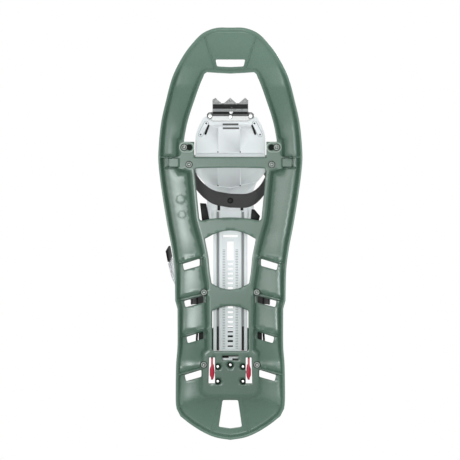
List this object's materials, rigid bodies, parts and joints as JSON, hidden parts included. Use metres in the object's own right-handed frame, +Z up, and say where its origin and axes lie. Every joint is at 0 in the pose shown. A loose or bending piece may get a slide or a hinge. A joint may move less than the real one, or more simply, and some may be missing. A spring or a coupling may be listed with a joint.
{
  "type": "snowshoe",
  "caption": "Moulded-deck snowshoe with a pivoting toe plate and claw, sliding heel cup on a rail, ratchet straps, underfoot studs and a fold-up climbing aid.",
  "frame": {"origin": "on the plane of the stud tips, under the middle of the deck", "axes": "+Z up out of the snow, -Y towards the nose, +Y towards the tail, +X across"},
  "size_m": [0.2064, 0.5901, 0.136],
  "materials": {
    "deck_plastic": "satin moulded",
    "steel": "zinc plated",
    "light_plastic": "satin moulded",
    "black_plastic": "satin moulded",
    "grey_rubber": "matt",
    "red_plastic": "satin moulded",
    "clear_strap": "translucent satin"
  },
  "bodies": {
    "deck": {"deck": "deck_plastic", "pivot_axle": "steel", "heel_rest": "light_plastic", "rest_screw_1": "steel", "rest_screw_2": "steel", "rest_screw_3": "steel", "rest_screw_4": "steel", "rest_screw_5": "steel", "aid_pin": "steel", "stud_boss_front_left": "steel", "stud_boss_front_right": "steel", "stud_boss_back_left": "steel", "stud_boss_back_right": "steel", "stud_middle_left": "steel", "stud_middle_right": "steel", "stud_rear_left": "steel", "stud_rear_right": "steel"},
    "binding": {"toe_plate": "light_plastic", "front_claw": "steel", "claw_bolt": "steel", "claw_rivet_left": "steel", "claw_rivet_right": "steel", "adjuster_rail": "light_plastic", "toe_strap": "grey_rubber", "toe_strap_rivet": "black_plastic", "toe_ladder": "clear_strap", "toe_ladder_rivet": "steel", "toe_buckle": "black_plastic", "toe_buckle_pin": "steel", "strap_end_left": "black_plastic", "strap_end_right": "black_plastic"},
    "toe_lever": {"toe_buckle_lever": "black_plastic"},
    "heel_piece": {"heel_plate": "black_plastic", "heel_cup": "black_plastic", "latch_pin": "steel", "ankle_strap_left": "grey_rubber", "ankle_strap_right": "grey_rubber", "ankle_rivet_left": "steel", "ankle_rivet_right": "steel", "ankle_ladder": "clear_strap", "ankle_ladder_tip": "black_plastic", "ankle_ladder_rivet": "steel", "ankle_buckle": "black_plastic", "ankle_buckle_pin": "steel"},
    "latch": {"length_latch": "black_plastic"},
    "ankle_lever": {"ankle_buckle_lever": "black_plastic"},
    "aid": {"climbing_aid": "red_plastic"}
  },
  "joints": [
    {"name": "binding_pivot", "type": "hinge", "parent": "deck", "child": "binding", "pos_m": [0, -0.11, 0.0255], "axis": [1, 0, 0], "range_deg": [0, 65]},
    {"name": "heel_slide", "type": "slide", "parent": "binding", "child": "heel_piece", "axis": [0, -1, 0], "range_m": [0, 0.069]},
    {"name": "length_latch", "type": "hinge", "parent": "heel_piece", "child": "latch", "pos_m": [0, 0.154, 0.0295], "axis": [-1, 0, 0], "range_deg": [0, 25], "stiffness_Nm_per_rad": 0.02},
    {"name": "toe_lever", "type": "hinge", "parent": "binding", "child": "toe_lever", "pos_m": [-0.01, -0.098, 0.1068], "axis": [0, 1, 0], "range_deg": [0, 75]},
    {"name": "ankle_lever", "type": "hinge", "parent": "heel_piece", "child": "ankle_lever", "pos_m": [-0.01, 0.045, 0.1308], "axis": [0, 1, 0], "range_deg": [0, 75]},
    {"name": "climbing_aid", "type": "hinge", "parent": "deck", "child": "aid", "pos_m": [0, 0.198, 0.0233], "axis": [-1, 0, 0], "range_deg": [0, 80]}
  ]
}
